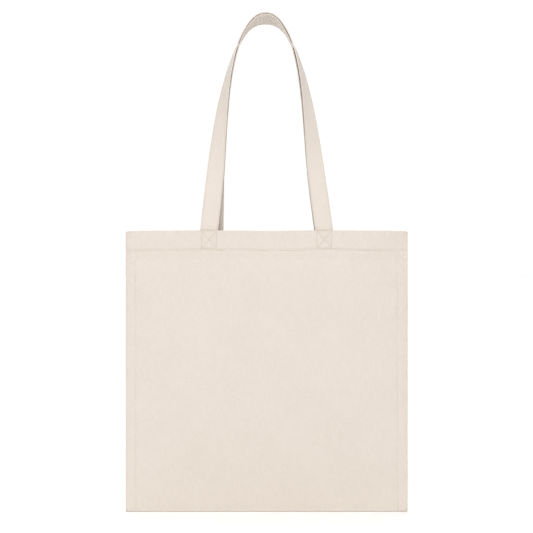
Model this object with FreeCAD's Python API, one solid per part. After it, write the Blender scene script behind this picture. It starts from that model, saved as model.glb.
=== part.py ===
import FreeCAD, Part
import math
import os

# A plain canvas tote bag, hanging by both handles from one peg.
# Millimetres, +Z up, front panel towards -Y, +X to the right of someone facing the front.
# The origin is the seat: the middle of the underside of the lower handle, where the peg bears.

os.makedirs("parts", exist_ok=True)

# ---- driving dimensions -------------------------------------------------------------------
pouch_width = 381.0        # seam to seam
pouch_height = 380.0       # bottom fold to the rim
handle_drop = 285.0        # rim to the seat

cloth = 0.6                # one layer of canvas
mouth_bow = 14.0           # inner face of each panel from the seam plane, in the hem band
belly_bow = 16.0           # the same, at the fullest height
belly_share = 0.55         # height of the belly, as a share of the height under the hem
flat_width = 190.0         # middle of each panel, which the two straps keep straight
seam_clearance = 0.3       # panels clear of the side seams' thread

hem_width = 26.0           # turned-in band at the rim
hem_turns = 2              # layers turned in
fold_ease = 0.1            # bottom fold's inside radius, beyond the panels' gap at the side seams
fold_clearance = 0.5       # panel's lower edge above the fold strip

allowance_width = 12.0     # seam allowance inside each side seam
allowance_layers = 2
overlock_reach = 4.0       # overlock thread over each face of the allowance's raw edge
seam_stitch_inset = 3.0    # side seam's row of stitches, from the seam's edge
thread = 0.4               # sewing thread
stitch_inset = 1.0         # hem and box stitches, from the edge that they follow
hem_stop = 6.0             # turned-in layers end this far from the side seam's allowance

strap_width = 24.0
strap_thick = 1.6
strap_gap = 1.6            # between the two straps where they lie over the peg
front_leg_left = 77.0      # strap centres from the middle of the bag, at the rim
front_leg_right = 77.0
back_leg_left = 71.0
back_leg_right = 77.0
sewn_length = 25.0         # strap sewn down inside the hem
strap_root_gap = 0.3       # free strap above the end of the sewn strap
box_width = 20.0           # stitched box with its two diagonals
box_height = 23.0
box_line = 0.8             # width of one line of stitching
edge_stitch_inset = 1.6    # row of stitches along each edge of a handle
edge_stitch_proud = 0.2    # how far its thread stands up

leg_lean = 6.8             # degrees from upright, each leg below the shoulder
shoulder_height = 71.0     # above the rim, where a leg starts to bend inwards
shoulder_pull = 60.0       # how far the leg's direction carries on above the shoulder
crown_pull = 52.0          # how far the level direction carries out from the crown
shoulder_share = 0.25      # share of the leg's length below the shoulder
twist_start = 0.05         # share of the way up where the strap begins to turn edge-on
twist_end = 0.92           # share of the way up where it is edge-on
level_share = 0.08         # share of the way up where the level-cut root has turned square to the leg
stations = 18              # sections along each half of a handle

# ---- what follows from them ---------------------------------------------------------------
rim = -handle_drop
bottom = rim - pouch_height
hem_edge = rim - hem_width
hem_thick = hem_turns * cloth
half_width = pouch_width / 2
flat_half = flat_width / 2
allowance_thick = allowance_layers * cloth
seam_gap = allowance_thick / 2 + thread + seam_clearance  # panels from the seam plane, at the sides
bottom_radius = seam_gap + fold_ease
fold_top = bottom + cloth + 2 * bottom_radius
panel_foot = fold_top + fold_clearance
belly = bottom + belly_share * (hem_edge - bottom)
fold_centre = bottom + cloth + bottom_radius
strap_face = mouth_bow - hem_thick                    # inner face of the hem, where a strap lies
strap_middle = strap_face - strap_thick / 2
crown = strap_thick + strap_gap / 2                   # height of the middle of the two straps


def vec(x, y, z):
    return FreeCAD.Vector(x, y, z)


def save(shape, node):
    shape.exportStep("parts/" + node + ".step")


# ---- panels -------------------------------------------------------------------------------
def side_arc(depth, z, sign, side):
    """Arc from the end of the flat middle to the side seam, tangent to the flat."""
    run = half_width - flat_half
    drop = depth - seam_gap
    radius = (run * run + drop * drop) / (2 * drop)
    half_turn = math.asin(run / radius) / 2
    flat_end = vec(side * flat_half, sign * depth, z)
    middle = vec(
        side * (flat_half + radius * math.sin(half_turn)),
        sign * (depth - radius * (1 - math.cos(half_turn))),
        z,
    )
    seam_end = vec(side * half_width, sign * seam_gap, z)
    return flat_end, middle, seam_end


def layer_section(depth, inset, thick, z, sign):
    """Closed outline of one layer of cloth: inset from the panel's inner face, thick outwards."""
    def outline(shift):
        left = side_arc(depth, z, sign, -1)
        right = side_arc(depth, z, sign, 1)
        moved = [[p + vec(0, sign * shift, 0) for p in points] for points in (left, right)]
        return moved

    inner = outline(-inset)
    outer = outline(thick - inset)
    edges = [
        Part.Arc(inner[0][2], inner[0][1], inner[0][0]).toShape(),
        Part.LineSegment(inner[0][0], inner[1][0]).toShape(),
        Part.Arc(inner[1][0], inner[1][1], inner[1][2]).toShape(),
        Part.LineSegment(inner[1][2], outer[1][2]).toShape(),
        Part.Arc(outer[1][2], outer[1][1], outer[1][0]).toShape(),
        Part.LineSegment(outer[1][0], outer[0][0]).toShape(),
        Part.Arc(outer[0][0], outer[0][1], outer[0][2]).toShape(),
        Part.LineSegment(outer[0][2], inner[0][2]).toShape(),
    ]
    return Part.Wire(edges)


def bow_at(z):
    """Inner face of a panel from the seam plane in its flat middle."""
    if z >= hem_edge:
        return mouth_bow
    if z >= belly:
        share = (hem_edge - z) / (hem_edge - belly)
        return mouth_bow + (belly_bow - mouth_bow) * math.sin(share * math.pi / 2)
    share = (z - panel_foot) / (belly - panel_foot)
    return bottom_radius + (belly_bow - bottom_radius) * math.sin(share * math.pi / 2)


def panel_heights():
    below = [panel_foot + (belly - panel_foot) * k / 6 for k in range(7)]
    above = [belly + (hem_edge - belly) * k / 3 for k in (1, 2, 3)]
    return below + above + [rim]


def panel(sign):
    wires = [layer_section(bow_at(z), 0, cloth, z, sign) for z in panel_heights()]
    return Part.makeLoft(wires, True, True)


def band(sign, inset, thick, low, high):
    """A layer that follows the panel in the hem, between two heights."""
    wires = [layer_section(mouth_bow, inset, thick, z, sign) for z in (low, high)]
    return Part.makeLoft(wires, True, True)


def hem(sign):
    """The turned-in layers, which stop short of the side seams' bulk."""
    reach = half_width - hem_stop
    depth = mouth_bow + cloth
    between = Part.makeBox(2 * reach, 2 * depth, hem_width, vec(-reach, -depth, hem_edge))
    return band(sign, hem_thick, hem_thick, hem_edge, rim).common(between)


def hem_stitch(sign):
    """The row of stitches along the hem's lower edge, proud of the panel's outer face."""
    height = hem_edge + stitch_inset
    return band(sign, -cloth, thread, height, height + box_line)


# ---- strap ends and their boxes -----------------------------------------------------------
def upright_box(x, width, y_inner, y_outer, low, high, sign):
    near = min(sign * y_inner, sign * y_outer)
    corner = vec(x - width / 2, near, low)
    return Part.makeBox(width, abs(y_outer - y_inner), high - low, corner)


def strap_end(x, sign):
    return upright_box(x, strap_width, strap_face - strap_thick, strap_face, rim - sewn_length, rim, sign)


def box_stitch(x, sign):
    """A stitched box with two diagonals, on the outer face of the panel."""
    y_inner = mouth_bow + cloth
    y_outer = y_inner + thread
    top = rim - stitch_inset
    low = top - box_height
    outside = upright_box(x, box_width, y_inner, y_outer, low, top, sign)
    inside = upright_box(
        x, box_width - 2 * box_line, y_inner, y_outer, low + box_line, top - box_line, sign
    )
    frame = outside.cut(inside)
    centre = vec(x, 0, (low + top) / 2)
    lean = math.degrees(math.atan2(box_width - box_line, box_height - box_line))
    reach = math.hypot(box_width, box_height)
    bars = []
    for turn in (-lean, lean):
        bar = upright_box(x, box_line, y_inner, y_outer, centre.z - reach / 2, centre.z + reach / 2, sign)
        bar.rotate(centre, vec(0, 1, 0), turn)
        bars.append(bar.common(outside))
    return frame.fuse(bars).removeSplitter()


# ---- handles ------------------------------------------------------------------------------
def half_path(leg_x):
    """Height and half span of the middle of the two straps, from the rim to the crown."""
    lean = math.radians(leg_lean)
    foot = (leg_x, rim + strap_root_gap)
    shoulder_x = front_leg_left - shoulder_height * math.tan(lean)
    shoulder = (shoulder_x, rim + shoulder_height)
    up = (shoulder[0] - shoulder_pull * math.sin(lean), shoulder[1] + shoulder_pull * math.cos(lean))
    out = (crown_pull, crown)
    top = (0.0, crown)
    return foot, shoulder, up, out, top


def path_point(leg_x, share):
    """Point and direction at a share of the way from the rim to the crown, for the right leg."""
    foot, shoulder, up, out, top = half_path(leg_x)
    if share <= shoulder_share:
        t = share / shoulder_share
        x = foot[0] + (shoulder[0] - foot[0]) * t
        z = foot[1] + (shoulder[1] - foot[1]) * t
        return x, z, shoulder[0] - foot[0], shoulder[1] - foot[1]
    t = (share - shoulder_share) / (1 - shoulder_share)
    s = 1 - t
    weights = (s * s * s, 3 * s * s * t, 3 * s * t * t, t * t * t)
    corners = (shoulder, up, out, top)
    x = sum(w * p[0] for w, p in zip(weights, corners))
    z = sum(w * p[1] for w, p in zip(weights, corners))
    slopes = (s * s, 2 * s * t, t * t)
    dx = sum(w * (b[0] - a[0]) for w, a, b in zip(slopes, corners, corners[1:]))
    dz = sum(w * (b[1] - a[1]) for w, a, b in zip(slopes, corners, corners[1:]))
    return x, z, dx, dz


def smooth(t):
    t = max(0.0, min(1.0, t))
    return t * t * (3 - 2 * t)


def ribbon_section(leg_x, share, side, sign, low, high, under, over):
    """Closed outline of a ribbon across a handle's path. side is -1 on the left leg, sign -1 in front.

    The ribbon runs from low to high across the strap, towards its inner edge, and from under to
    over in its thickness, towards the face that is outside at the rim in front.
    """
    x, z, dx, dz = path_point(leg_x, share)
    outward = vec(side * dz, 0, -dx * min(1.0, share / level_share)).normalize()
    turn = math.pi / 2 * smooth((share - twist_start) / (twist_end - twist_start))
    across = outward * -math.cos(turn) + vec(0, -math.sin(turn), 0)
    face = vec(0, -math.cos(turn), 0) + outward * math.sin(turn)
    stand = strap_middle * (1 - smooth(share / twist_end))
    lift = (strap_thick + strap_gap) / 2 * math.sin(turn) ** 2
    centre = vec(side * x, sign * stand, z) + outward * (-sign * lift)
    corners = [
        centre + across * low + face * under,
        centre + across * high + face * under,
        centre + across * high + face * over,
        centre + across * low + face * over,
    ]
    return Part.makePolygon(corners + corners[:1])


def ribbon(sign, low, high, under, over):
    """A ribbon along the whole of one handle, from its left root over the crown to its right one."""
    left_x, right_x = (front_leg_left, front_leg_right) if sign < 0 else (back_leg_left, back_leg_right)
    up = [(left_x, k / stations, -1) for k in range(stations + 1)]
    down = [(right_x, k / stations, 1) for k in reversed(range(stations))]
    wires = [ribbon_section(x, share, side, sign, low, high, under, over) for x, share, side in up + down]
    return Part.makeLoft(wires, True, True)


def handle(sign):
    return ribbon(sign, -strap_width / 2, strap_width / 2, -strap_thick / 2, strap_thick / 2)


def handle_stitch(sign):
    """A row of stitches along each edge, on the handle's outer face as it leaves the rim."""
    outer = -sign * strap_thick / 2
    proud = -sign * (strap_thick / 2 + edge_stitch_proud)
    near = strap_width / 2 - edge_stitch_inset
    rows = []
    for low in (-near - box_line / 2, near - box_line / 2):
        rows.append(ribbon(sign, low, low + box_line, min(outer, proud), max(outer, proud)))
    return Part.Compound(rows)


# ---- the pouch's own body: side seams and bottom fold -------------------------------------
def seam_foot():
    """Where the flat allowance comes to rest inside the round of the bottom fold."""
    half = allowance_thick / 2
    return fold_centre - math.sqrt(bottom_radius * bottom_radius - half * half)


def seam_box(side, from_edge, width, reach):
    """A box in the side seam's plane: from_edge inwards from the seam, reach to each face."""
    outer = half_width - from_edge
    x = outer - width if side > 0 else -outer
    foot = seam_foot()
    return Part.makeBox(width, 2 * reach, rim - foot, vec(x, -reach, foot))


def side_seam(side):
    return seam_box(side, 0, allowance_width, allowance_thick / 2)


def side_stitch(side):
    row = seam_box(side, seam_stitch_inset, box_line, allowance_thick / 2 + thread)
    lifted = Part.makeBox(pouch_width, 4 * thread + allowance_thick, rim - fold_top)
    lifted.translate(vec(-half_width, -lifted.BoundBox.YLength / 2, fold_top))
    return row.cut(side_seam(side)).common(lifted)


def overlock(side):
    """Thread wrapped over the raw edge of the allowance."""
    start = allowance_width - overlock_reach
    wrap = seam_box(side, start, overlock_reach + thread, allowance_thick / 2 + thread)
    above_fold = Part.makeBox(pouch_width, pouch_width, rim - fold_top, vec(-half_width, -half_width, fold_top))
    return wrap.cut(side_seam(side)).common(above_fold)


def bottom_fold():
    """The canvas where it turns from front to back, without a seam."""
    inner = bottom_radius
    outer = bottom_radius + cloth

    def at(y, z):
        return vec(-half_width, y, z)

    edges = [
        Part.LineSegment(at(-inner, fold_top), at(-outer, fold_top)).toShape(),
        Part.LineSegment(at(-outer, fold_top), at(-outer, fold_centre)).toShape(),
        Part.Arc(at(-outer, fold_centre), at(0, fold_centre - outer), at(outer, fold_centre)).toShape(),
        Part.LineSegment(at(outer, fold_centre), at(outer, fold_top)).toShape(),
        Part.LineSegment(at(outer, fold_top), at(inner, fold_top)).toShape(),
        Part.LineSegment(at(inner, fold_top), at(inner, fold_centre)).toShape(),
        Part.Arc(at(inner, fold_centre), at(0, fold_centre - inner), at(-inner, fold_centre)).toShape(),
        Part.LineSegment(at(-inner, fold_centre), at(-inner, fold_top)).toShape(),
    ]
    return Part.Face(Part.Wire(edges)).extrude(vec(pouch_width, 0, 0))


# ---- every piece --------------------------------------------------------------------------
def leg_places(sign):
    if sign < 0:
        return (("left", -front_leg_left), ("right", front_leg_right))
    return (("left", -back_leg_left), ("right", back_leg_right))


for name, sign in (("front", -1), ("back", 1)):
    save(panel(sign), name + "_panel")
    save(hem(sign), name + "_hem")
    save(hem_stitch(sign), name + "_hem_stitch")
    save(handle(sign), name + "_handle")
    save(handle_stitch(sign), name + "_handle_stitch")
    for side_name, x in leg_places(sign):
        save(strap_end(x, sign), name + "_strap_end_" + side_name)
        save(box_stitch(x, sign), name + "_box_stitch_" + side_name)

for side_name, side in (("left", -1), ("right", 1)):
    save(side_seam(side), "side_seam_" + side_name)
    save(side_stitch(side), "side_stitch_" + side_name)
    save(overlock(side), "overlock_" + side_name)

save(bottom_fold(), "bottom_fold")
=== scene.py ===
import math

import bpy
import numpy as np
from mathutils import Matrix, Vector


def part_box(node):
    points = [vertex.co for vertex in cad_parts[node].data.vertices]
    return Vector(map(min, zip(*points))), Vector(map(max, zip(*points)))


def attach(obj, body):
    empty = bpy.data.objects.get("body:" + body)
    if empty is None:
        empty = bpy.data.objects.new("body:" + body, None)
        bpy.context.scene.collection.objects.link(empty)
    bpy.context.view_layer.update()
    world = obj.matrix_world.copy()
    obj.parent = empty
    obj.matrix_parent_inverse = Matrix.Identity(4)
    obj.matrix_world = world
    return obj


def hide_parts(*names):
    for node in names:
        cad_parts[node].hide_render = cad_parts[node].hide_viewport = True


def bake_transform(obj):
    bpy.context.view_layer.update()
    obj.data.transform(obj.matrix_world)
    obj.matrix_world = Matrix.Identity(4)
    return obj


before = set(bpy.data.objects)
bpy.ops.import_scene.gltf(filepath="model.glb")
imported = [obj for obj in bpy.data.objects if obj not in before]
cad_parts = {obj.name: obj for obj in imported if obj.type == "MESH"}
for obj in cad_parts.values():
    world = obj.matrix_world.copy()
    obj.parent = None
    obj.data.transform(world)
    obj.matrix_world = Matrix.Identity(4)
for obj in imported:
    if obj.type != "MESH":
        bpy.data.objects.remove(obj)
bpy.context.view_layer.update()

# A canvas tote bag hanging by both handles. The script works in millimetres and turns them
# into metres where a mesh is made. Front is -Y, +Z up, the seat of the handles is the origin.

MM = 0.001

# ---- places taken from the frame ------------------------------------------------------------


def node_box(node):
    low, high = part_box(node)
    return np.array(low) / MM, np.array(high) / MM


panel_low, panel_high = node_box("front_panel")
hem_low, _ = node_box("front_hem")
fold_low, fold_high = node_box("bottom_fold")
RIM = panel_high[2]
HEM_EDGE = hem_low[2]
BOTTOM = fold_low[2]
HALF = panel_high[0]
FOLD_OUT = fold_high[1]                       # outer face of the bottom fold
CLOTH = 0.6
BELLY_BOW = -panel_low[1] - CLOTH             # inner face at the fullest height
MOUTH_BOW = -hem_low[1]                       # inner face of the outer layer at the rim
HEM_THICK = 2 * CLOTH
SEAM_GAP = 1.3                                # inner face of each panel at the side seams
FLAT_HALF = 95.0
BELLY_Z = BOTTOM + 0.55 * (HEM_EDGE - BOTTOM)
STRAP_FACE = MOUTH_BOW - HEM_THICK
STRAP_WIDTH = 24.0
STRAP_THICK = 1.6
STRAP_MIDDLE = STRAP_FACE - STRAP_THICK / 2
STRAP_ROW = 10.4                              # rows of stitches along a strap, from its middle
SEWN_LENGTH = 25.0
BOX_WIDTH, BOX_HEIGHT, BOX_INSET = 20.0, 23.0, 1.0
ALLOWANCE = 12.0

# The handles' route, as in the CAD source.
LEGS = {"front": (-77.0, 77.0), "back": (-71.0, 77.0)}
LEG_LEAN = math.radians(6.8)
SHOULDER_HEIGHT, SHOULDER_PULL, CROWN_PULL, SHOULDER_SHARE = 71.0, 60.0, 52.0, 0.25
TWIST_START, TWIST_END, LEVEL_SHARE = 0.05, 0.92, 0.08
ROOT_GAP = 0.3
PITCH = 2.1                                   # from one strap's middle to the other's at the crown
CROWN = 2.4
CROWN_TILT = {"front": math.radians(21.0), "back": math.radians(19.6)}   # front edges raised over the peg
TILT_START = 0.84
SWAY, CROWN_SWAY = -1.7, -0.4                 # the arch leans a little to the left

STITCH_STEP = 3.2
STITCH_LONG = 2.9
STITCH_RISE = 2.0                             # hem's row of stitches above the hem's folded edge


def smooth(t):
    t = np.clip(t, 0.0, 1.0)
    return t * t * (3 - 2 * t)


def wave_noise(x, z, seed, size, octaves=3):
    """Smooth repeatable noise from a few rotated sine products, about -1 to 1."""
    random = np.random.default_rng(seed)
    total = np.zeros_like(x, dtype=float)
    weight = 0.0
    for octave in range(octaves):
        for _ in range(3):
            angle = random.uniform(0, math.pi)
            phase = random.uniform(0, 2 * math.pi, 2)
            wavelength = size * random.uniform(0.75, 1.35) / 2**octave
            a = (x * math.cos(angle) + z * math.sin(angle)) * 2 * math.pi / wavelength
            b = (-x * math.sin(angle) + z * math.cos(angle)) * 2 * math.pi / wavelength
            total += np.sin(a + phase[0]) * np.sin(b * 0.8 + phase[1]) / 1.6**octave
            weight += 1 / 1.6**octave
    return total / weight * 2.2


# ---- meshes ---------------------------------------------------------------------------------


def new_mesh(name, points, faces, uv=None):
    """A smooth-shaded mesh object from points in millimetres, with cloth coordinates in metres."""
    mesh = bpy.data.meshes.new(name)
    mesh.from_pydata([tuple(p) for p in np.asarray(points) * MM], [], faces)
    mesh.shade_smooth()
    if uv is not None:
        layer = mesh.uv_layers.new(name="cloth")
        corners = np.zeros(len(mesh.loops), int)
        mesh.loops.foreach_get("vertex_index", corners)
        layer.data.foreach_set("uv", (np.asarray(uv)[corners] * MM).astype(np.float32).ravel())
    mesh.validate()
    made = bpy.data.objects.new(name, mesh)
    bpy.context.scene.collection.objects.link(made)
    return made


def grid_faces(rows, columns, wrap=False, start=0, flip=False):
    """Quads of a grid of points stored row by row; wrap joins the last column to the first."""
    faces = []
    across = columns if wrap else columns - 1
    for r in range(rows - 1):
        for c in range(across):
            n = (c + 1) % columns
            a, b = start + r * columns + c, start + r * columns + n
            d, e = start + (r + 1) * columns + c, start + (r + 1) * columns + n
            faces.append((a, d, e, b) if flip else (a, b, e, d))
    return faces


def thick_sheet(name, middle, normals, uv, thick, flip):
    """A closed skin around a grid of middle points: both faces and the edge all round."""
    rows, columns = middle.shape[:2]
    count = rows * columns
    outer = (middle + normals * thick / 2).reshape(-1, 3)
    inner = (middle - normals * thick / 2).reshape(-1, 3)
    points = np.vstack([outer, inner])
    faces = grid_faces(rows, columns, flip=flip)
    faces += grid_faces(rows, columns, start=count, flip=not flip)
    ring = [(0, c) for c in range(columns)]
    ring += [(r, columns - 1) for r in range(1, rows)]
    ring += [(rows - 1, c) for c in range(columns - 2, -1, -1)]
    ring += [(r, 0) for r in range(rows - 2, 0, -1)]
    loop = [r * columns + c for r, c in ring]
    for k, a in enumerate(loop):
        b = loop[(k + 1) % len(loop)]
        faces.append((b, a, a + count, b + count) if flip else (a, b, b + count, a + count))
    flat = np.vstack([uv.reshape(-1, 2)] * 2)
    return new_mesh(name, points, faces, flat)


def grid_normals(middle):
    """Unit normals of a grid of points."""
    along = np.gradient(middle, axis=0)
    across = np.gradient(middle, axis=1)
    normal = np.cross(across, along)
    return normal / np.maximum(np.linalg.norm(normal, axis=2, keepdims=True), 1e-9)


# ---- the pouch's cloth ----------------------------------------------------------------------


def bow_at(z):
    """Inner face of a panel from the seam plane in its flat middle, as in the CAD source."""
    foot = FOLD_OUT - CLOTH
    up = np.clip((HEM_EDGE - z) / (HEM_EDGE - BELLY_Z), 0, 1)
    upper = MOUTH_BOW + (BELLY_BOW - MOUTH_BOW) * np.sin(up * math.pi / 2)
    down = np.clip((z - BOTTOM - 3.9) / (BELLY_Z - BOTTOM - 3.9), 0, 1)
    lower = foot + (BELLY_BOW - foot) * np.sin(down * math.pi / 2)
    return np.where(z > BELLY_Z, upper, lower)


def depth_at(x, z):
    """Middle of the cloth from the seam plane, at rest, before its small folds."""
    bow = bow_at(z)
    run = HALF - FLAT_HALF
    drop = np.maximum(bow - SEAM_GAP, 1e-3)
    radius = (run * run + drop * drop) / (2 * drop)
    past = np.clip(np.abs(x) - FLAT_HALF, 0, run)
    return bow + CLOTH / 2 - (radius - np.sqrt(radius * radius - past * past))


def crease(x, z, x0, z0, angle, long, wide, high):
    """A soft ridge centred on a point, along an angle from +X in degrees."""
    a = math.radians(angle)
    u = (x - x0) * math.cos(a) + (z - z0) * math.sin(a)
    v = -(x - x0) * math.sin(a) + (z - z0) * math.cos(a)
    return high * np.exp(-((u / long) ** 2) - (v / wide) ** 2)


def small_folds(x, z, sign):
    """Height of the cloth's small folds, outwards from the panel."""
    seed = 11 if sign < 0 else 29
    below = RIM - z
    across = np.abs(x)
    rest = smooth(below / 30) * smooth((z - BOTTOM) / 40)
    high = 0.40 * wave_noise(x, z * 0.55, seed, 120) * rest
    high += 0.12 * wave_noise(x, z, seed + 1, 46) * rest
    high += 0.03 * wave_noise(x, z, seed + 2, 18)
    # The hem stands proud of the cloth under it, and its row of stitches pulls it in.
    line = hem_line(x, sign)
    uneven = 1 + 0.6 * wave_noise(x, 0 * z, seed + 3, 26)
    high += 0.56 * uneven * smooth((z - line + 0.5) / 1.1)
    high -= 0.7 * np.exp(-(((z - line + 13) / 9) ** 2))
    high -= 0.30 * np.exp(-(((z - line - STITCH_RISE) / 0.7) ** 2))
    high -= 0.28 * uneven * np.exp(-(((z - line + 0.9) / 0.8) ** 2))
    high += 0.13 * wave_noise(x, z * 0.25, seed + 6, 24) * smooth((z - line) / 2.0)
    pucker = wave_noise(x, z * 0.35, seed + 4, 13) * np.exp(-(((z - line + 4.0) / 4.5) ** 2))
    high += 0.26 * pucker
    # The seam allowance shows through as a band beside each side, a little puckered.
    edge = HALF - 12.8 + 0.5 * np.sin(z * 0.021 + x * 0.01 + seed)
    under_hem = smooth((line - z) / 6.0)
    band = smooth((across - edge + 0.7) / 1.4) * under_hem
    high += 0.60 * band - 0.40 * np.exp(-(((across - edge + 1.3) / 0.9) ** 2)) * under_hem
    high += 0.34 * wave_noise(x * 0.8, z * 1.7, seed + 5, 20) * band
    # Inside the hem band the thick corner is pressed in beside the seam.
    place = np.where(x < 0, HALF - 2.8, HALF - 5.0)
    high -= 0.60 * np.exp(-(((across - place) / 0.9) ** 2)) * smooth((z - line) / 2.0)
    for x0, z0, angle, long, wide, tall in FOLDS:
        high += crease(x, z, x0, RIM - z0, angle, long, wide, tall)
    return high


# Short folds: place from the bag's middle, depth under the rim, angle, half length, half width, height.
FOLDS = (
    (-184, 32.0, 21, 8, 1.3, -0.95),
    (-184, 35.8, 18, 8, 1.8, 0.60),
    (-176.5, 32.0, 70, 4, 1.2, -0.60),
    (-187, 27.6, -20, 4, 1.0, -0.70),
    (-170, 36.0, -48, 10, 2.2, 0.35),
    (-183, 47.0, 24, 7, 1.6, -0.40),
    (-183, 66.0, -18, 7, 1.8, -0.35),
    (-183, 88.0, 20, 7, 1.8, -0.30),
    (177.5, 32.0, -52, 6, 1.4, -0.90),
    (183, 34.5, -33, 6, 1.6, 0.75),
    (171, 34.0, -52, 8, 2.2, 0.40),
    (165, 35.0, -50, 7, 1.8, -0.30),
    (184, 52.0, -22, 7, 1.8, -0.35),
    (184, 74.0, 16, 7, 1.8, -0.30),
    (-76, 26.6, -1, 14, 0.9, -0.70),
    (-61, 28.8, -9, 7, 0.9, -0.55),
    (78, 26.4, 1, 11, 0.9, -0.65),
    (93.5, 28.8, -35, 3, 0.9, -0.50),
    (-44, 30.0, 3, 9, 1.6, 0.25),
    (40, 29.0, -4, 12, 1.6, -0.20),
    (130, 28.5, 2, 16, 1.4, -0.35),
    (-120, 28.5, 3, 14, 1.4, -0.30),
    (-30, 70.0, 76, 38, 4.5, 0.22),
    (55, 110.0, -80, 46, 5.0, 0.20),
    (-110, 190.0, 84, 55, 6.0, 0.18),
    (20, 300.0, 8, 60, 6.0, 0.16),
)


def hem_line(x, sign):
    """Height of the hem's folded edge, which wavers a little along the rim."""
    seed = 41 if sign < 0 else 47
    return HEM_EDGE - 0.3 + 0.55 * wave_noise(x, 0 * x, seed, 52)


def rim_dip(x, z):
    """How far the cloth hangs below a straight rim: most between the straps, some at the corners."""
    across = np.abs(x)
    between = 0.8 * np.cos(np.clip(across / 77, 0, 1) * math.pi / 2) ** 2
    corner = 0.4 * smooth((across - 89) / 60) + 0.7 * smooth((across - HALF + 7) / 7)
    fade = smooth(1 - (RIM - z) / 120)
    return (between + corner) * fade


TURN_IN = HEM_THICK                           # from the outer layer's middle to the inner one's
FOLD_ROWS = 5                                 # rows of points round half of the bottom fold


def panel_rows():
    """Height and inset of each row of a panel's cloth: bottom fold, face, rim, hem and its raw edge.

    The rows of the bottom fold also have their distance from the seam plane.
    """
    fold = FOLD_OUT - CLOTH / 2
    bend = TURN_IN / 2
    small = TURN_IN / 4
    top = RIM - bend - CLOTH / 2
    turns = [math.pi / 2 * k / (FOLD_ROWS - 1) for k in range(FOLD_ROWS)]
    depths = [fold * math.sin(a) for a in turns]
    rows = [(BOTTOM + CLOTH / 2 + fold * (1 - math.cos(a)), 0.0) for a in turns]
    z = rows[-1][0] + 1.0
    while z < top:
        rows.append((z, 0.0))
        z += 2.0 if z < HEM_EDGE - 16 else 0.8
    for k in range(9):
        a = math.pi * k / 8
        rows.append((top + bend * math.sin(a), bend * (1 - math.cos(a))))
    z = top - 1.6
    while z > HEM_EDGE + 0.6:
        rows.append((z, TURN_IN))
        z -= 1.6
    for k in range(5):
        a = math.pi * k / 4
        height = HEM_EDGE + small + CLOTH / 2 - small * math.sin(a)
        rows.append((height, TURN_IN - small * (1 - math.cos(a))))
    rows += [(HEM_EDGE + 1 + 2 * k, TURN_IN - 2 * small) for k in range(1, 5)]
    return np.array(rows), np.array(depths)


def panel_grid(sign):
    """Middle points of a panel's cloth, its hem included, and where they lie on the flat cloth."""
    rows, depths = panel_rows()
    columns = np.linspace(-HALF, HALF, int(2 * HALF / 1.6) + 1)
    x, z = np.meshgrid(columns, rows[:, 0])
    inset = np.repeat(rows[:, 1:], len(columns), 1)
    # The turned-in layers stop short of the side seam.
    x = x * (1 - (6.0 / HALF) * smooth(inset / TURN_IN))
    depth = depth_at(x, np.clip(z, BOTTOM, RIM))
    depth[:FOLD_ROWS] = depths[:, None]
    high = small_folds(x, z, sign)
    high[:FOLD_ROWS] *= np.linspace(0, 0.3, FOLD_ROWS)[:, None]
    # Towards the seam the outer layer rolls in to meet the other panel.
    roll = 1.5
    near = np.clip((np.abs(x) - (HALF - roll)) / roll, 0, 1)
    rolled = 0.35 + (depth - 0.35) * np.sqrt(np.maximum(0.0, 1 - near * near))
    outer = inset < 0.2
    depth = np.where(outer, rolled, depth) + high * (1 - near) * np.where(outer, 1, 0.85) - inset
    z = z - rim_dip(x, z)
    middle = np.stack([x, sign * depth, z], axis=2)
    centre_line = middle[:, len(columns) // 2]
    length = np.concatenate([[0], np.cumsum(np.linalg.norm(np.diff(centre_line, axis=0), axis=1))])
    length -= length[np.argmax(centre_line[:, 2])]                    # zero at the rim
    return middle, np.stack([x, np.repeat(length[:, None], len(columns), 1)], axis=2)


def cloth_panel(name, sign):
    """One panel's cloth: bottom fold, face, rim and turned hem in a single piece."""
    middle, uv = panel_grid(sign)
    normals = grid_normals(middle) * (1 if sign < 0 else -1)
    return thick_sheet(f"{name}_cloth", middle, normals, uv, CLOTH, sign > 0)


# ---- stitches -------------------------------------------------------------------------------


def beads(name, centres, along, out, long=STITCH_LONG, thick=0.6):
    """One mesh of many stitches: each a short rounded bead, sunk a little at both ends."""
    half = ((0.15, 1.0, 0.0), (0.38, 0.8, -0.12), (0.5, 0.25, -0.32))   # place along, width, sink
    rings = [(-t, width, sink) for t, width, sink in reversed(half)] + list(half)
    sides = 6
    points, faces, uv = [], [], []
    for centre, a, o in zip(centres, along, out):
        a = a / np.linalg.norm(a)
        o = o / np.linalg.norm(o)
        side = np.cross(a, o)
        start = len(points)
        for t, width, sink in rings:
            for k in range(sides):
                turn = 2 * math.pi * k / sides
                offset = side * math.cos(turn) * width * thick / 2
                offset = offset + o * (math.sin(turn) * width * thick / 2 + sink * thick)
                points.append(centre + a * t * long + offset)
                uv.append((k * 0.2, t * long))
        faces += grid_faces(len(rings), sides, wrap=True, start=start)
        faces.append(tuple(start + k for k in reversed(range(sides))))
        faces.append(tuple(start + (len(rings) - 1) * sides + k for k in range(sides)))
    return new_mesh(name, points, faces, np.array(uv))


def spaced(start, end, step=STITCH_STEP):
    """Middles of stitches along a straight line, and its direction."""
    start, end = np.array(start, float), np.array(end, float)
    count = max(1, round(np.linalg.norm(end - start) / step))
    t = (np.arange(count) + 0.5) / count
    return start + (end - start) * t[:, None], (end - start) / np.linalg.norm(end - start)


def on_panel(x, z, sign, lift):
    """Points on a panel's outer face, lifted off it."""
    x, z = np.asarray(x, float), np.asarray(z, float)
    depth = depth_at(x, z) + small_folds(x, z, sign) + CLOTH / 2 + lift
    return np.stack([x, sign * depth, z - rim_dip(x, z)], axis=-1)


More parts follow.
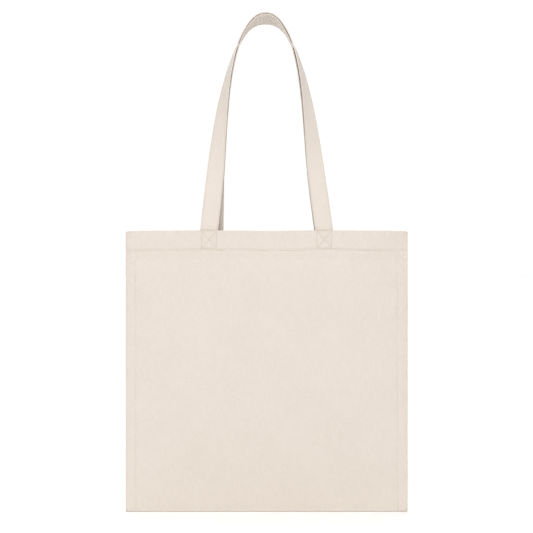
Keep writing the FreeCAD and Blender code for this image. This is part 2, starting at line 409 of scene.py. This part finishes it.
def hem_row(name, sign):
    """The hem's row of stitches."""
    flat, _ = spaced((-HALF + 3, 0, 0), (HALF - 3, 0, 0))
    x = flat[:, 0]
    centres = on_panel(x, hem_line(x, sign) + STITCH_RISE, sign, 0.02)
    ahead = on_panel(x + 0.5, hem_line(x + 0.5, sign) + STITCH_RISE, sign, 0.02)
    out = np.repeat([[0.0, float(sign), 0.0]], len(flat), 0)
    return beads(f"{name}_hem_stitches", centres, ahead - centres, out)


def box_rows(name, x, sign):
    """The stitched box with its two diagonals that holds one strap end."""
    top, low = RIM - BOX_INSET, RIM - BOX_INSET - BOX_HEIGHT
    left, right = x - BOX_WIDTH / 2, x + BOX_WIDTH / 2
    lines = (
        ((left, 0, top), (right, 0, top)),
        ((right, 0, top), (right, 0, low)),
        ((right, 0, low), (left, 0, low)),
        ((left, 0, low), (left, 0, top)),
        ((left, 0, top), (right, 0, low)),
        ((right, 0, top), (left, 0, low)),
    )
    centres, along, out = [], [], []
    for a, b in lines:
        flat, way = spaced(a, b, 3.0)
        for p in flat:
            centres.append(on_panel(p[0], p[2], sign, 0.0))
            along.append(way)
            out.append(np.array([0.0, float(sign), 0.0]))
        for p in flat:
            dip = rim_dip(p[0], p[2])
            centres.append(np.array([p[0], sign * (STRAP_FACE - STRAP_THICK - 0.02), p[2] - dip]))
            along.append(way)
            out.append(np.array([0.0, -float(sign), 0.0]))
    return beads(name, centres, along, out, long=2.7, thick=0.5)


# ---- handles --------------------------------------------------------------------------------


def path_point(leg_x, share):
    """Point and direction of the middle of the two straps, for a right leg, as in the CAD source."""
    foot = (leg_x, RIM + ROOT_GAP)
    shoulder = (LEGS["front"][1] - SHOULDER_HEIGHT * math.tan(LEG_LEAN), RIM + SHOULDER_HEIGHT)
    up = (shoulder[0] - SHOULDER_PULL * math.sin(LEG_LEAN), shoulder[1] + SHOULDER_PULL * math.cos(LEG_LEAN))
    out, top = (CROWN_PULL, CROWN), (0.0, CROWN)
    if share <= SHOULDER_SHARE:
        t = share / SHOULDER_SHARE
        way = (shoulder[0] - foot[0], shoulder[1] - foot[1])
        return foot[0] + way[0] * t, foot[1] + way[1] * t, way[0], way[1]
    t = (share - SHOULDER_SHARE) / (1 - SHOULDER_SHARE)
    s = 1 - t
    corners = (shoulder, up, out, top)
    weights = (s * s * s, 3 * s * s * t, 3 * s * t * t, t * t * t)
    slopes = (s * s, 2 * s * t, t * t)
    x = sum(w * p[0] for w, p in zip(weights, corners))
    z = sum(w * p[1] for w, p in zip(weights, corners))
    dx = sum(w * (b[0] - a[0]) for w, a, b in zip(slopes, corners, corners[1:]))
    dz = sum(w * (b[1] - a[1]) for w, a, b in zip(slopes, corners, corners[1:]))
    return x, z, dx, dz


def strap_frame(leg_x, share, side, sign):
    """Centre of a strap at a share of its leg, its direction across and its face direction."""
    x, z, dx, dz = path_point(leg_x, share)
    outward = np.array([side * dz, 0.0, -dx * min(1.0, share / LEVEL_SHARE)])
    outward /= np.linalg.norm(outward)
    turn = math.pi / 2 * smooth((share - TWIST_START) / (TWIST_END - TWIST_START))
    lift = PITCH / 2 * math.sin(turn) ** 2
    stand = STRAP_MIDDLE * (1 - smooth(share / TWIST_END))
    sway = SWAY * math.sin(math.pi * share * 0.85) + CROWN_SWAY * smooth((share - 0.5) / 0.5)
    turn += CROWN_TILT["front" if sign < 0 else "back"] * smooth((share - TILT_START) / (1 - TILT_START))
    across = -outward * math.cos(turn) + np.array([0.0, -math.sin(turn), 0.0])
    face = np.array([0.0, -math.cos(turn), 0.0]) + outward * math.sin(turn)
    centre = np.array([side * x + sway, sign * stand, z]) - sign * lift * outward
    return centre, across, face


def strap_frames(name, sign):
    """Frames along a whole strap, from one sewn end over the crown to the other, 3 mm apart."""
    left_x, right_x = LEGS[name]
    frames = []
    sewn = np.linspace(-SEWN_LENGTH, -1.0, 10)
    across, face = np.array([1.0, 0.0, 0.0]), np.array([0.0, -1.0, 0.0])
    for z in sewn:
        frames.append((np.array([left_x, sign * STRAP_MIDDLE, RIM + z]), across, face))
    shares = np.concatenate([np.linspace(0, 0.03, 16)[:-1], np.linspace(0.03, 1, 105)])
    for share in shares:
        frames.append(strap_frame(-left_x, share, -1, sign))
    for share in shares[-2::-1]:
        frames.append(strap_frame(right_x, share, 1, sign))
    for z in sewn[::-1]:
        frames.append((np.array([right_x, sign * STRAP_MIDDLE, RIM + z]), -across, face))
    return frames


def strap_outline():
    """Points round a strap's section: flat faces, round folded edges, a groove under each stitched row."""
    half, thick = STRAP_WIDTH / 2, STRAP_THICK / 2
    round_from = half - thick
    face = [round_from, STRAP_ROW + 0.5, STRAP_ROW, STRAP_ROW - 0.5, 9.0, 6.0, 3.0, 0.0]
    face = face + [-t for t in face[-2::-1]]
    upper = []
    for t in face:
        groove = 0.16 * math.exp(-(((abs(t) - STRAP_ROW) / 0.5) ** 2))
        upper.append((t, thick * (1 - 0.10 * (1 - abs(t) / half)) - groove))
    lower = [(-t, -h) for t, h in upper]
    turn = [math.pi * k / 6 for k in range(1, 6)]
    left = [(-round_from - thick * math.sin(a), thick * math.cos(a)) for a in turn]
    right = [(round_from + thick * math.sin(a), -thick * math.cos(a)) for a in turn]
    return upper + left + lower + right


def strap(name, sign):
    """One strap, sewn ends and all, as a flat folded band that turns edge-on under the crown."""
    outline = strap_outline()
    frames = strap_frames(name, sign)
    points, uv = [], []
    run = 0.0
    before = frames[0][0]
    seed = 3 if sign < 0 else 5
    for centre, across, face in frames:
        run += float(np.linalg.norm(centre - before))
        before = centre
        above = centre[2] - RIM
        dent = 0.50 * math.exp(-(((above - 4.2) / 0.7) ** 2))
        crease_line = dent - 0.2 * math.exp(-(((above - 2.6) / 1.0) ** 2))
        for t, h in outline:
            ripple = 0.10 * math.sin(run * 0.11 + t * 0.16 + seed) * math.sin(run * 0.031 + seed)
            cup = 0.25 * (2 * t / STRAP_WIDTH) ** 2 * math.sin(run * 0.013 + seed)
            fold = -crease_line * float(smooth((t + 9) / 5))
            points.append(centre + across * t + face * (h + ripple + cup + fold))
            uv.append((t if h >= 0 else 40 - t, run))
    ring = len(outline)
    faces = grid_faces(len(frames), ring, wrap=True, flip=True)
    faces.append(tuple(range(ring)))
    faces.append(tuple((len(frames) - 1) * ring + k for k in reversed(range(ring))))
    return new_mesh(f"{name}_strap", points, faces, np.array(uv)), frames


def strap_rows(name, frames):
    """Rows of stitches along both edges of a strap, on both of its faces."""
    centres, along, out = [], [], []
    places = np.array([f[0] for f in frames])
    run = np.concatenate([[0], np.cumsum(np.linalg.norm(np.diff(places, axis=0), axis=1))])
    across = np.array([f[1] for f in frames])
    face = np.array([f[2] for f in frames])

    def at(values, s):
        return np.array([np.interp(s, run, values[:, k]) for k in range(3)])

    for s in np.arange(2.0, run[-1] - 2.0, STITCH_STEP):
        for edge in (-STRAP_ROW, STRAP_ROW):
            for side in (-1, 1):
                offset = STRAP_THICK / 2 - 0.12
                here = at(places, s) + at(across, s) * edge + at(face, s) * side * offset
                ahead = at(places, s + 1) + at(across, s + 1) * edge + at(face, s + 1) * side * offset
                centres.append(here)
                along.append(ahead - here)
                out.append(at(face, s) * side)
    return beads(f"{name}_strap_stitches", centres, along, out, long=2.0, thick=0.42)


# ---- side seams -----------------------------------------------------------------------------


def allowance(name, side):
    """The two layers of the seam allowance inside one side, from the bottom fold to the rim."""
    stations = np.linspace(HALF - ALLOWANCE, HALF - 0.5, 9)
    x, z = np.meshgrid(stations, np.linspace(BOTTOM + 3.4, RIM - 3.5, 150))
    normals = np.zeros(x.shape + (3,))
    normals[:, :, 1] = 1.0
    layers = []
    for face, layer in (("front", -1), ("back", 1)):
        wave = 0.12 * np.sin(z * 0.09 + layer) * (HALF - x) / ALLOWANCE
        middle = np.stack([side * x, layer * 0.31 + wave, z], axis=2)
        flat = np.stack([x, z], axis=2)
        layers.append(thick_sheet(f"{name}_{face}", middle, normals, flat, 0.56, side < 0))
    return layers


def seam_row(name, side):
    """The side seam's own row of stitches, seen on both faces of the allowance."""
    centres, along, out = [], [], []
    x = side * (HALF - 3)
    flat, way = spaced((x, 0, BOTTOM + 5), (x, 0, RIM - 5))
    for p in flat:
        for face in (-1, 1):
            centres.append(p + np.array([0, face * 0.62, 0]))
            along.append(way)
            out.append(np.array([0.0, float(face), 0.0]))
    return beads(f"{name}_seam_stitches", centres, along, out, thick=0.42)


def overlock(name, side):
    """One thread looped over the allowance's raw edge, all the way up."""
    edge = HALF - ALLOWANCE
    loop = (
        (3.6, 0.72, 0.0), (1.2, 0.80, 0.5), (-0.35, 0.35, 0.9), (-0.35, -0.35, 1.1), (1.2, -0.80, 1.5),
        (3.6, -0.72, 2.0), (1.2, -0.80, 2.2), (-0.35, -0.35, 2.3), (-0.35, 0.35, 2.4), (1.2, 0.80, 2.5),
    )
    path = [(edge + x, y, z + up) for z in np.arange(BOTTOM + 5.0, RIM - 7, 2.6) for x, y, up in loop]
    curve = bpy.data.curves.new(f"{name}_overlock_line", "CURVE")
    curve.dimensions = "3D"
    curve.bevel_depth = 0.2 * MM
    curve.bevel_resolution = 1
    spline = curve.splines.new("POLY")
    spline.points.add(len(path) - 1)
    for point, p in zip(spline.points, path):
        point.co = (side * p[0] * MM, p[1] * MM, p[2] * MM, 1)
    holder = bpy.data.objects.new(f"{name}_overlock_curve", curve)
    bpy.context.scene.collection.objects.link(holder)
    mesh = bpy.data.meshes.new_from_object(holder)
    bpy.data.objects.remove(holder)
    mesh.shade_smooth()
    made = bpy.data.objects.new(f"{name}_overlock_thread", mesh)
    bpy.context.scene.collection.objects.link(made)
    return made


# ---- materials ------------------------------------------------------------------------------


class Nodes:
    """A short way to add and join shader nodes."""

    def __init__(self, name):
        self.material = bpy.data.materials.new(name)
        self.material.use_nodes = True
        self.tree = self.material.node_tree
        self.shader = self.tree.nodes["Principled BSDF"]

    def add(self, kind, inputs=None, **settings):
        node = self.tree.nodes.new(kind)
        for key, value in settings.items():
            setattr(node, key, value)
        for key, value in (inputs or {}).items():
            if isinstance(value, bpy.types.NodeSocket):
                self.tree.links.new(value, node.inputs[key])
            else:
                node.inputs[key].default_value = value
        return node

    def math(self, operation, a, b=0.0):
        return self.add("ShaderNodeMath", {0: a, 1: b}, operation=operation).outputs[0]

    def noise(self, place, scale, detail=2.0, roughness=0.5):
        inputs = {"Vector": place, "Scale": scale, "Detail": detail, "Roughness": roughness}
        return self.add("ShaderNodeTexNoise", inputs)

    def mix(self, share, first, second):
        return self.add("ShaderNodeMix", {0: share, 6: first, 7: second}, data_type="RGBA").outputs[2]

    def vector(self, operation, inputs):
        return self.add("ShaderNodeVectorMath", inputs, operation=operation).outputs[0]


def linear(r, g, b):
    """An sRGB colour, 0 to 255, as linear values."""
    def one(c):
        c /= 255
        return c / 12.92 if c <= 0.04045 else ((c + 0.055) / 1.055) ** 2.4
    return (one(r), one(g), one(b), 1.0)


def stitch_press_and_painted_shade(n, split, legs):
    """Where the stitched box and its diagonals press the cloth, 0 to 1, from cloth coordinates."""
    # The mask sinks the bump and also darkens the colour along the stitch lines as painted shade of their
    # grooves.
    nearest = None
    for x0 in legs:
        a = n.math("ABSOLUTE", n.math("SUBTRACT", split.outputs[0], x0))
        b = n.math("ABSOLUTE", n.math("ADD", split.outputs[1], 12.5))
        a, b = n.math("DIVIDE", a, 10.0), n.math("DIVIDE", b, 11.5)
        diagonal = n.math("MULTIPLY", n.math("ABSOLUTE", n.math("SUBTRACT", a, b)), 7.5)
        furthest = n.math("MAXIMUM", a, b)
        border = n.math("MULTIPLY", n.math("ABSOLUTE", n.math("SUBTRACT", furthest, 1.0)), 10.7)
        outside = n.math("MULTIPLY", n.math("GREATER_THAN", furthest, 1.04), 50.0)
        here = n.math("ADD", n.math("MINIMUM", diagonal, border), outside)
        nearest = here if nearest is None else n.math("MINIMUM", nearest, here)
    press = n.math("DIVIDE", nearest, 0.6)
    return n.math("POWER", 2.718, n.math("MULTIPLY", n.math("MULTIPLY", press, press), -1.0))


def allowance_press_and_painted_shade(n, place, wobble):
    """The seam allowance's edge, pressed through the cloth below the hem, 0 to 0.4; besides sinking the bump
    it darkens the colour there as painted shade.
    """
    sway = n.math("MULTIPLY", n.add("ShaderNodeSeparateXYZ", {0: wobble}).outputs[0], 2.0)
    across = n.math("ADD", n.math("ABSOLUTE", place.outputs[0]), sway)
    off = n.math("DIVIDE", n.math("SUBTRACT", across, HALF - 13.6), 0.9)
    line = n.math("POWER", 2.718, n.math("MULTIPLY", n.math("MULTIPLY", off, off), -1.0))
    below = n.math("LESS_THAN", place.outputs[1], -28.0)
    return n.math("MULTIPLY", n.math("MULTIPLY", line, below), 0.4)


def weave(n, place, shift, yarn):
    """Where the crossing yarns lie over each other, and the slubs along both sets of them."""
    bent = n.vector("MULTIPLY_ADD", {0: shift, 1: (0.9, 0.9, 0.9), 2: place})
    split = n.add("ShaderNodeSeparateXYZ", {0: bent})
    waves = []
    for axis in (0, 1):
        turn = n.math("MULTIPLY", split.outputs[axis], 2 * math.pi / yarn)
        waves.append(n.math("SINE", turn))
    slubs = []
    for stretch in ((0.10, 1.3, 1.0), (1.3, 0.07, 1.0)):
        long = n.vector("MULTIPLY", {0: place, 1: stretch})
        slubs.append(n.noise(long, 1.0, 3.0, 0.7).outputs[0])
    return n.math("MULTIPLY", waves[0], waves[1]), n.math("ADD", slubs[0], slubs[1])


def canvas(name, light, dark, yarn=0.85, relief=0.10, legs=None):
    """Plain-weave cotton: crossing yarns of uneven thickness, faint slubs and soft mottling."""
    n = Nodes(name)
    uv = n.add("ShaderNodeUVMap", uv_map="cloth").outputs[0]
    place = n.vector("SCALE", {0: uv, 3: 1 / MM})
    wobble = n.noise(place, 0.35).outputs[1]
    shift = n.vector("SUBTRACT", {0: wobble, 1: (0.5, 0.5, 0.5)})
    over, yarns = weave(n, place, shift, yarn)
    cloud = n.noise(place, 0.014).outputs[0]
    mottle = n.noise(place, 0.09, 4.0, 0.75).outputs[0]
    grain = n.noise(place, 0.8).outputs[0]
    tone = n.math("MULTIPLY", yarns, 0.38)
    for part, share in ((cloud, 0.14), (mottle, 0.17), (grain, 0.62), (over, 0.07)):
        tone = n.math("ADD", tone, n.math("MULTIPLY", part, share))
    ramp = n.add("ShaderNodeMapRange", {0: tone, 1: 0.55, 2: 1.13}).outputs[0]
    mixed = n.mix(ramp, dark, light)
    height = n.math("ADD", n.math("MULTIPLY", yarns, 0.9), over)
    if legs:
        flat = n.add("ShaderNodeSeparateXYZ", {0: place})
        press = n.math("MAXIMUM", stitch_press_and_painted_shade(n, flat, legs), allowance_press_and_painted_shade(n, flat, shift))
        height = n.math("SUBTRACT", height, n.math("MULTIPLY", press, 2.5))
        # Besides sinking the bump, the stitched box lines and the allowance's pressed edge darken the
        # cloth's colour: painted shade of their grooves.
        painted_shade = tuple(c * 0.72 for c in dark[:3]) + (1.0,)
        share = n.math("MULTIPLY", press, 0.27)
        mixed = n.mix(share, mixed, painted_shade)
    n.tree.links.new(mixed, n.shader.inputs["Base Color"])
    rough = n.add("ShaderNodeMapRange", {0: yarns, 1: 0.6, 2: 1.4, 3: 0.92, 4: 0.80}).outputs[0]
    n.tree.links.new(rough, n.shader.inputs["Roughness"])
    bump = n.add("ShaderNodeBump", {"Height": height, "Strength": 0.55, "Distance": relief * MM})
    n.tree.links.new(bump.outputs[0], n.shader.inputs["Normal"])
    n.shader.inputs["Specular IOR Level"].default_value = 0.2
    n.shader.inputs["Sheen Weight"].default_value = 0.10
    n.shader.inputs["Sheen Roughness"].default_value = 0.5
    return n.material


HOLE_SHADE_FROM, HOLE_SHADE_TO = 0.9, 1.3                 # from a stitch's middle, where painted shade of its needle hole darkens it


def thread_material(name, light, dark):
    """Twisted cotton thread, with painted shade darkening each stitch's ends where it sinks into its needle
    hole.
    """
    n = Nodes(name)
    place = n.vector("SCALE", {0: n.add("ShaderNodeTexCoord").outputs["Object"], 3: 1 / MM})
    wave = {"Vector": place, "Scale": 1.6, "Distortion": 1.5}
    twist = n.add("ShaderNodeTexWave", wave, bands_direction="DIAGONAL")
    fluff = n.noise(place, 2.5, 3.0).outputs[0]
    tone = n.math("MULTIPLY", twist.outputs["Fac"], fluff)
    uv = n.add("ShaderNodeUVMap", uv_map="cloth").outputs[0]
    along = n.math("ABSOLUTE", n.add("ShaderNodeSeparateXYZ", {0: uv}).outputs[1])
    # Each stitch's ends are darkened as painted shade of the needle hole.
    end = n.add("ShaderNodeMapRange", {0: along, 1: HOLE_SHADE_FROM * MM, 2: HOLE_SHADE_TO * MM, 4: 0.85}).outputs[0]
    painted_hole_shade = tuple(c * 0.3 for c in dark[:3]) + (1.0,)
    mixed = n.mix(end, n.mix(tone, dark, light), painted_hole_shade)
    n.tree.links.new(mixed, n.shader.inputs["Base Color"])
    bump = n.add("ShaderNodeBump", {"Height": twist.outputs["Fac"], "Strength": 0.5, "Distance": 0.05 * MM})
    n.tree.links.new(bump.outputs[0], n.shader.inputs["Normal"])
    n.shader.inputs["Roughness"].default_value = 0.7
    n.shader.inputs["Sheen Weight"].default_value = 0.1
    return n.material


def floor_material():
    n = Nodes("pale_floor")
    grain = n.noise(n.add("ShaderNodeTexCoord").outputs["Object"], 9.0, 4.0).outputs[0]
    mixed = n.mix(grain, (0.95, 0.95, 0.95, 1.0), (0.97, 0.97, 0.97, 1.0))
    n.tree.links.new(mixed, n.shader.inputs["Base Color"])
    n.shader.inputs["Roughness"].default_value = 0.8
    return n.material


LIGHT, DARK = linear(221, 212, 203), linear(201, 190, 179)
CANVAS = {name: canvas(f"{name}_canvas", LIGHT, DARK, legs=LEGS[name]) for name in LEGS}
STRAP_CANVAS = canvas("strap_canvas", linear(216, 207, 198), linear(203, 193, 183), yarn=0.8, relief=0.02)
TURNED = canvas("turned_canvas", linear(218, 207, 196), linear(198, 185, 171))
THREAD = thread_material("thread", linear(222, 211, 198), linear(198, 184, 168))


def dress(piece, material):
    piece.data.materials.clear()
    piece.data.materials.append(material)
    return piece


# ---- the bag --------------------------------------------------------------------------------


def bend(piece, name, sign):
    """Bakes the piece's placement into its mesh."""
    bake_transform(piece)


def make_panel(name, sign):
    cloth = cloth_panel(name, sign)
    row = hem_row(name, sign)
    dress(cloth, CANVAS[name])
    dress(row, THREAD)
    bend(cloth, name, sign)
    bend(row, name, sign)
    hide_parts(f"{name}_panel", f"{name}_hem")
    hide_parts(f"{name}_hem_stitch")
    return cloth


def make_handle(name, sign):
    piece, frames = strap(name, sign)
    rows = strap_rows(name, frames)
    dress(piece, STRAP_CANVAS)
    dress(rows, THREAD)
    for item in (piece, rows):
        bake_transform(item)
    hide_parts(f"{name}_handle", f"{name}_strap_end_left", f"{name}_strap_end_right")
    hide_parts(f"{name}_handle_stitch")
    for side, x in zip(("left", "right"), LEGS[name]):
        box = box_rows(f"{name}_box_stitches_{side}", x, sign)
        dress(box, THREAD)
        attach(box, f"{name}_panel")
        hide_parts(f"{name}_box_stitch_{side}")
    return piece


def make_side(name, side):
    layers = allowance(f"{name}_allowance", side)
    seam, wrap = seam_row(name, side), overlock(name, side)
    for layer in layers:
        dress(layer, TURNED)
        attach(layer, "pouch_base")
    for row in (seam, wrap):
        dress(row, THREAD)
        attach(row, "pouch_base")
    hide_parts(f"side_seam_{name}")
    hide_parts(f"side_stitch_{name}")
    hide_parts(f"overlock_{name}")


for name, sign in (("front", -1), ("back", 1)):
    make_handle(name, sign)
for name, sign in (("front", -1), ("back", 1)):
    cloth = make_panel(name, sign)
    if sign < 0:
        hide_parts("bottom_fold")
for name, side in (("left", -1), ("right", 1)):
    make_side(name, side)


# ---- floor, light and camera ----------------------------------------------------------------


def make_stage():
    mesh = bpy.data.meshes.new("floor")
    reach = 30.0
    z = (BOTTOM - 0.2) * MM
    corners = [(-reach, -reach, z), (reach, -reach, z), (reach, reach, z), (-reach, reach, z)]
    mesh.from_pydata(corners, [], [(0, 1, 2, 3)])
    mesh.materials.append(floor_material())
    floor = bpy.data.objects.new("floor", mesh)
    bpy.context.scene.collection.objects.link(floor)


def far_light(name, towards, power, wide):
    """A soft light as from a large panel far away: its direction, strength and width in degrees."""
    light = bpy.data.lights.new(name, "SUN")
    light.energy = power
    light.angle = math.radians(wide)
    holder = bpy.data.objects.new(name, light)
    holder.rotation_mode = "QUATERNION"
    holder.rotation_quaternion = (-Vector(towards)).to_track_quat("-Z", "Y")
    bpy.context.scene.collection.objects.link(holder)


def near_light(name, place, aim, power, size):
    """A round soft light near the bag, stronger at the handles than at the bottom."""
    light = bpy.data.lights.new(name, "AREA")
    light.shape = "DISK"
    light.size = size
    light.energy = power
    holder = bpy.data.objects.new(name, light)
    holder.location = place
    holder.rotation_mode = "QUATERNION"
    holder.rotation_quaternion = (Vector(aim) - Vector(place)).to_track_quat("-Z", "Y")
    bpy.context.scene.collection.objects.link(holder)


def make_light():
    """An even pale studio: a wide key from above in front, and weak fills from every side."""
    world = bpy.data.worlds.new("studio")
    world.use_nodes = True
    tree = world.node_tree
    backdrop = tree.nodes["Background"]
    backdrop.inputs[0].default_value = (1.0, 1.0, 1.0, 1.0)
    backdrop.inputs[1].default_value = 1.02
    room = tree.nodes.new("ShaderNodeBackground")
    room.inputs[0].default_value = (1.0, 1.0, 1.0, 1.0)
    room.inputs[1].default_value = 0.50
    path = tree.nodes.new("ShaderNodeLightPath")
    mix = tree.nodes.new("ShaderNodeMixShader")
    tree.links.new(path.outputs["Is Camera Ray"], mix.inputs[0])
    tree.links.new(room.outputs[0], mix.inputs[1])
    tree.links.new(backdrop.outputs[0], mix.inputs[2])
    tree.links.new(mix.outputs[0], tree.nodes["World Output"].inputs["Surface"])
    bpy.context.scene.world = world
    bpy.context.scene.view_settings.view_transform = "Standard"
    far_light("ceiling", (0.0, 0.15, 1.0), 0.39, 12)
    far_light("key", (0.05, -0.93, 0.98), 1.60, 10)
    far_light("right", (0.95, -0.60, 0.06), 0.50, 30)
    far_light("left", (-0.95, -0.60, 0.08), 0.47, 30)
    far_light("behind", (-0.25, 0.95, 0.15), 1.0, 30)
    near_light("top", (-0.45, -0.9, 0.6), (0.0, 0.0, -0.3), 2.1, 0.5)


def make_camera():
    """Level with the middle of the picture, near enough that the crown is seen from a little below."""
    data = bpy.data.cameras.new("camera")
    camera = bpy.data.objects.new("camera", data)
    away, across = 1.25, 0.7213
    data.sensor_width = 36.0
    data.lens = 36.0 * away / across
    data.clip_start, data.clip_end = 0.05, 100.0
    camera.location = (-0.0002, -away, RIM * MM - 0.0484)
    camera.rotation_euler = (math.pi / 2, 0.0, 0.0)
    bpy.context.scene.collection.objects.link(camera)
    bpy.context.scene.camera = camera


make_stage()
make_light()
make_camera()
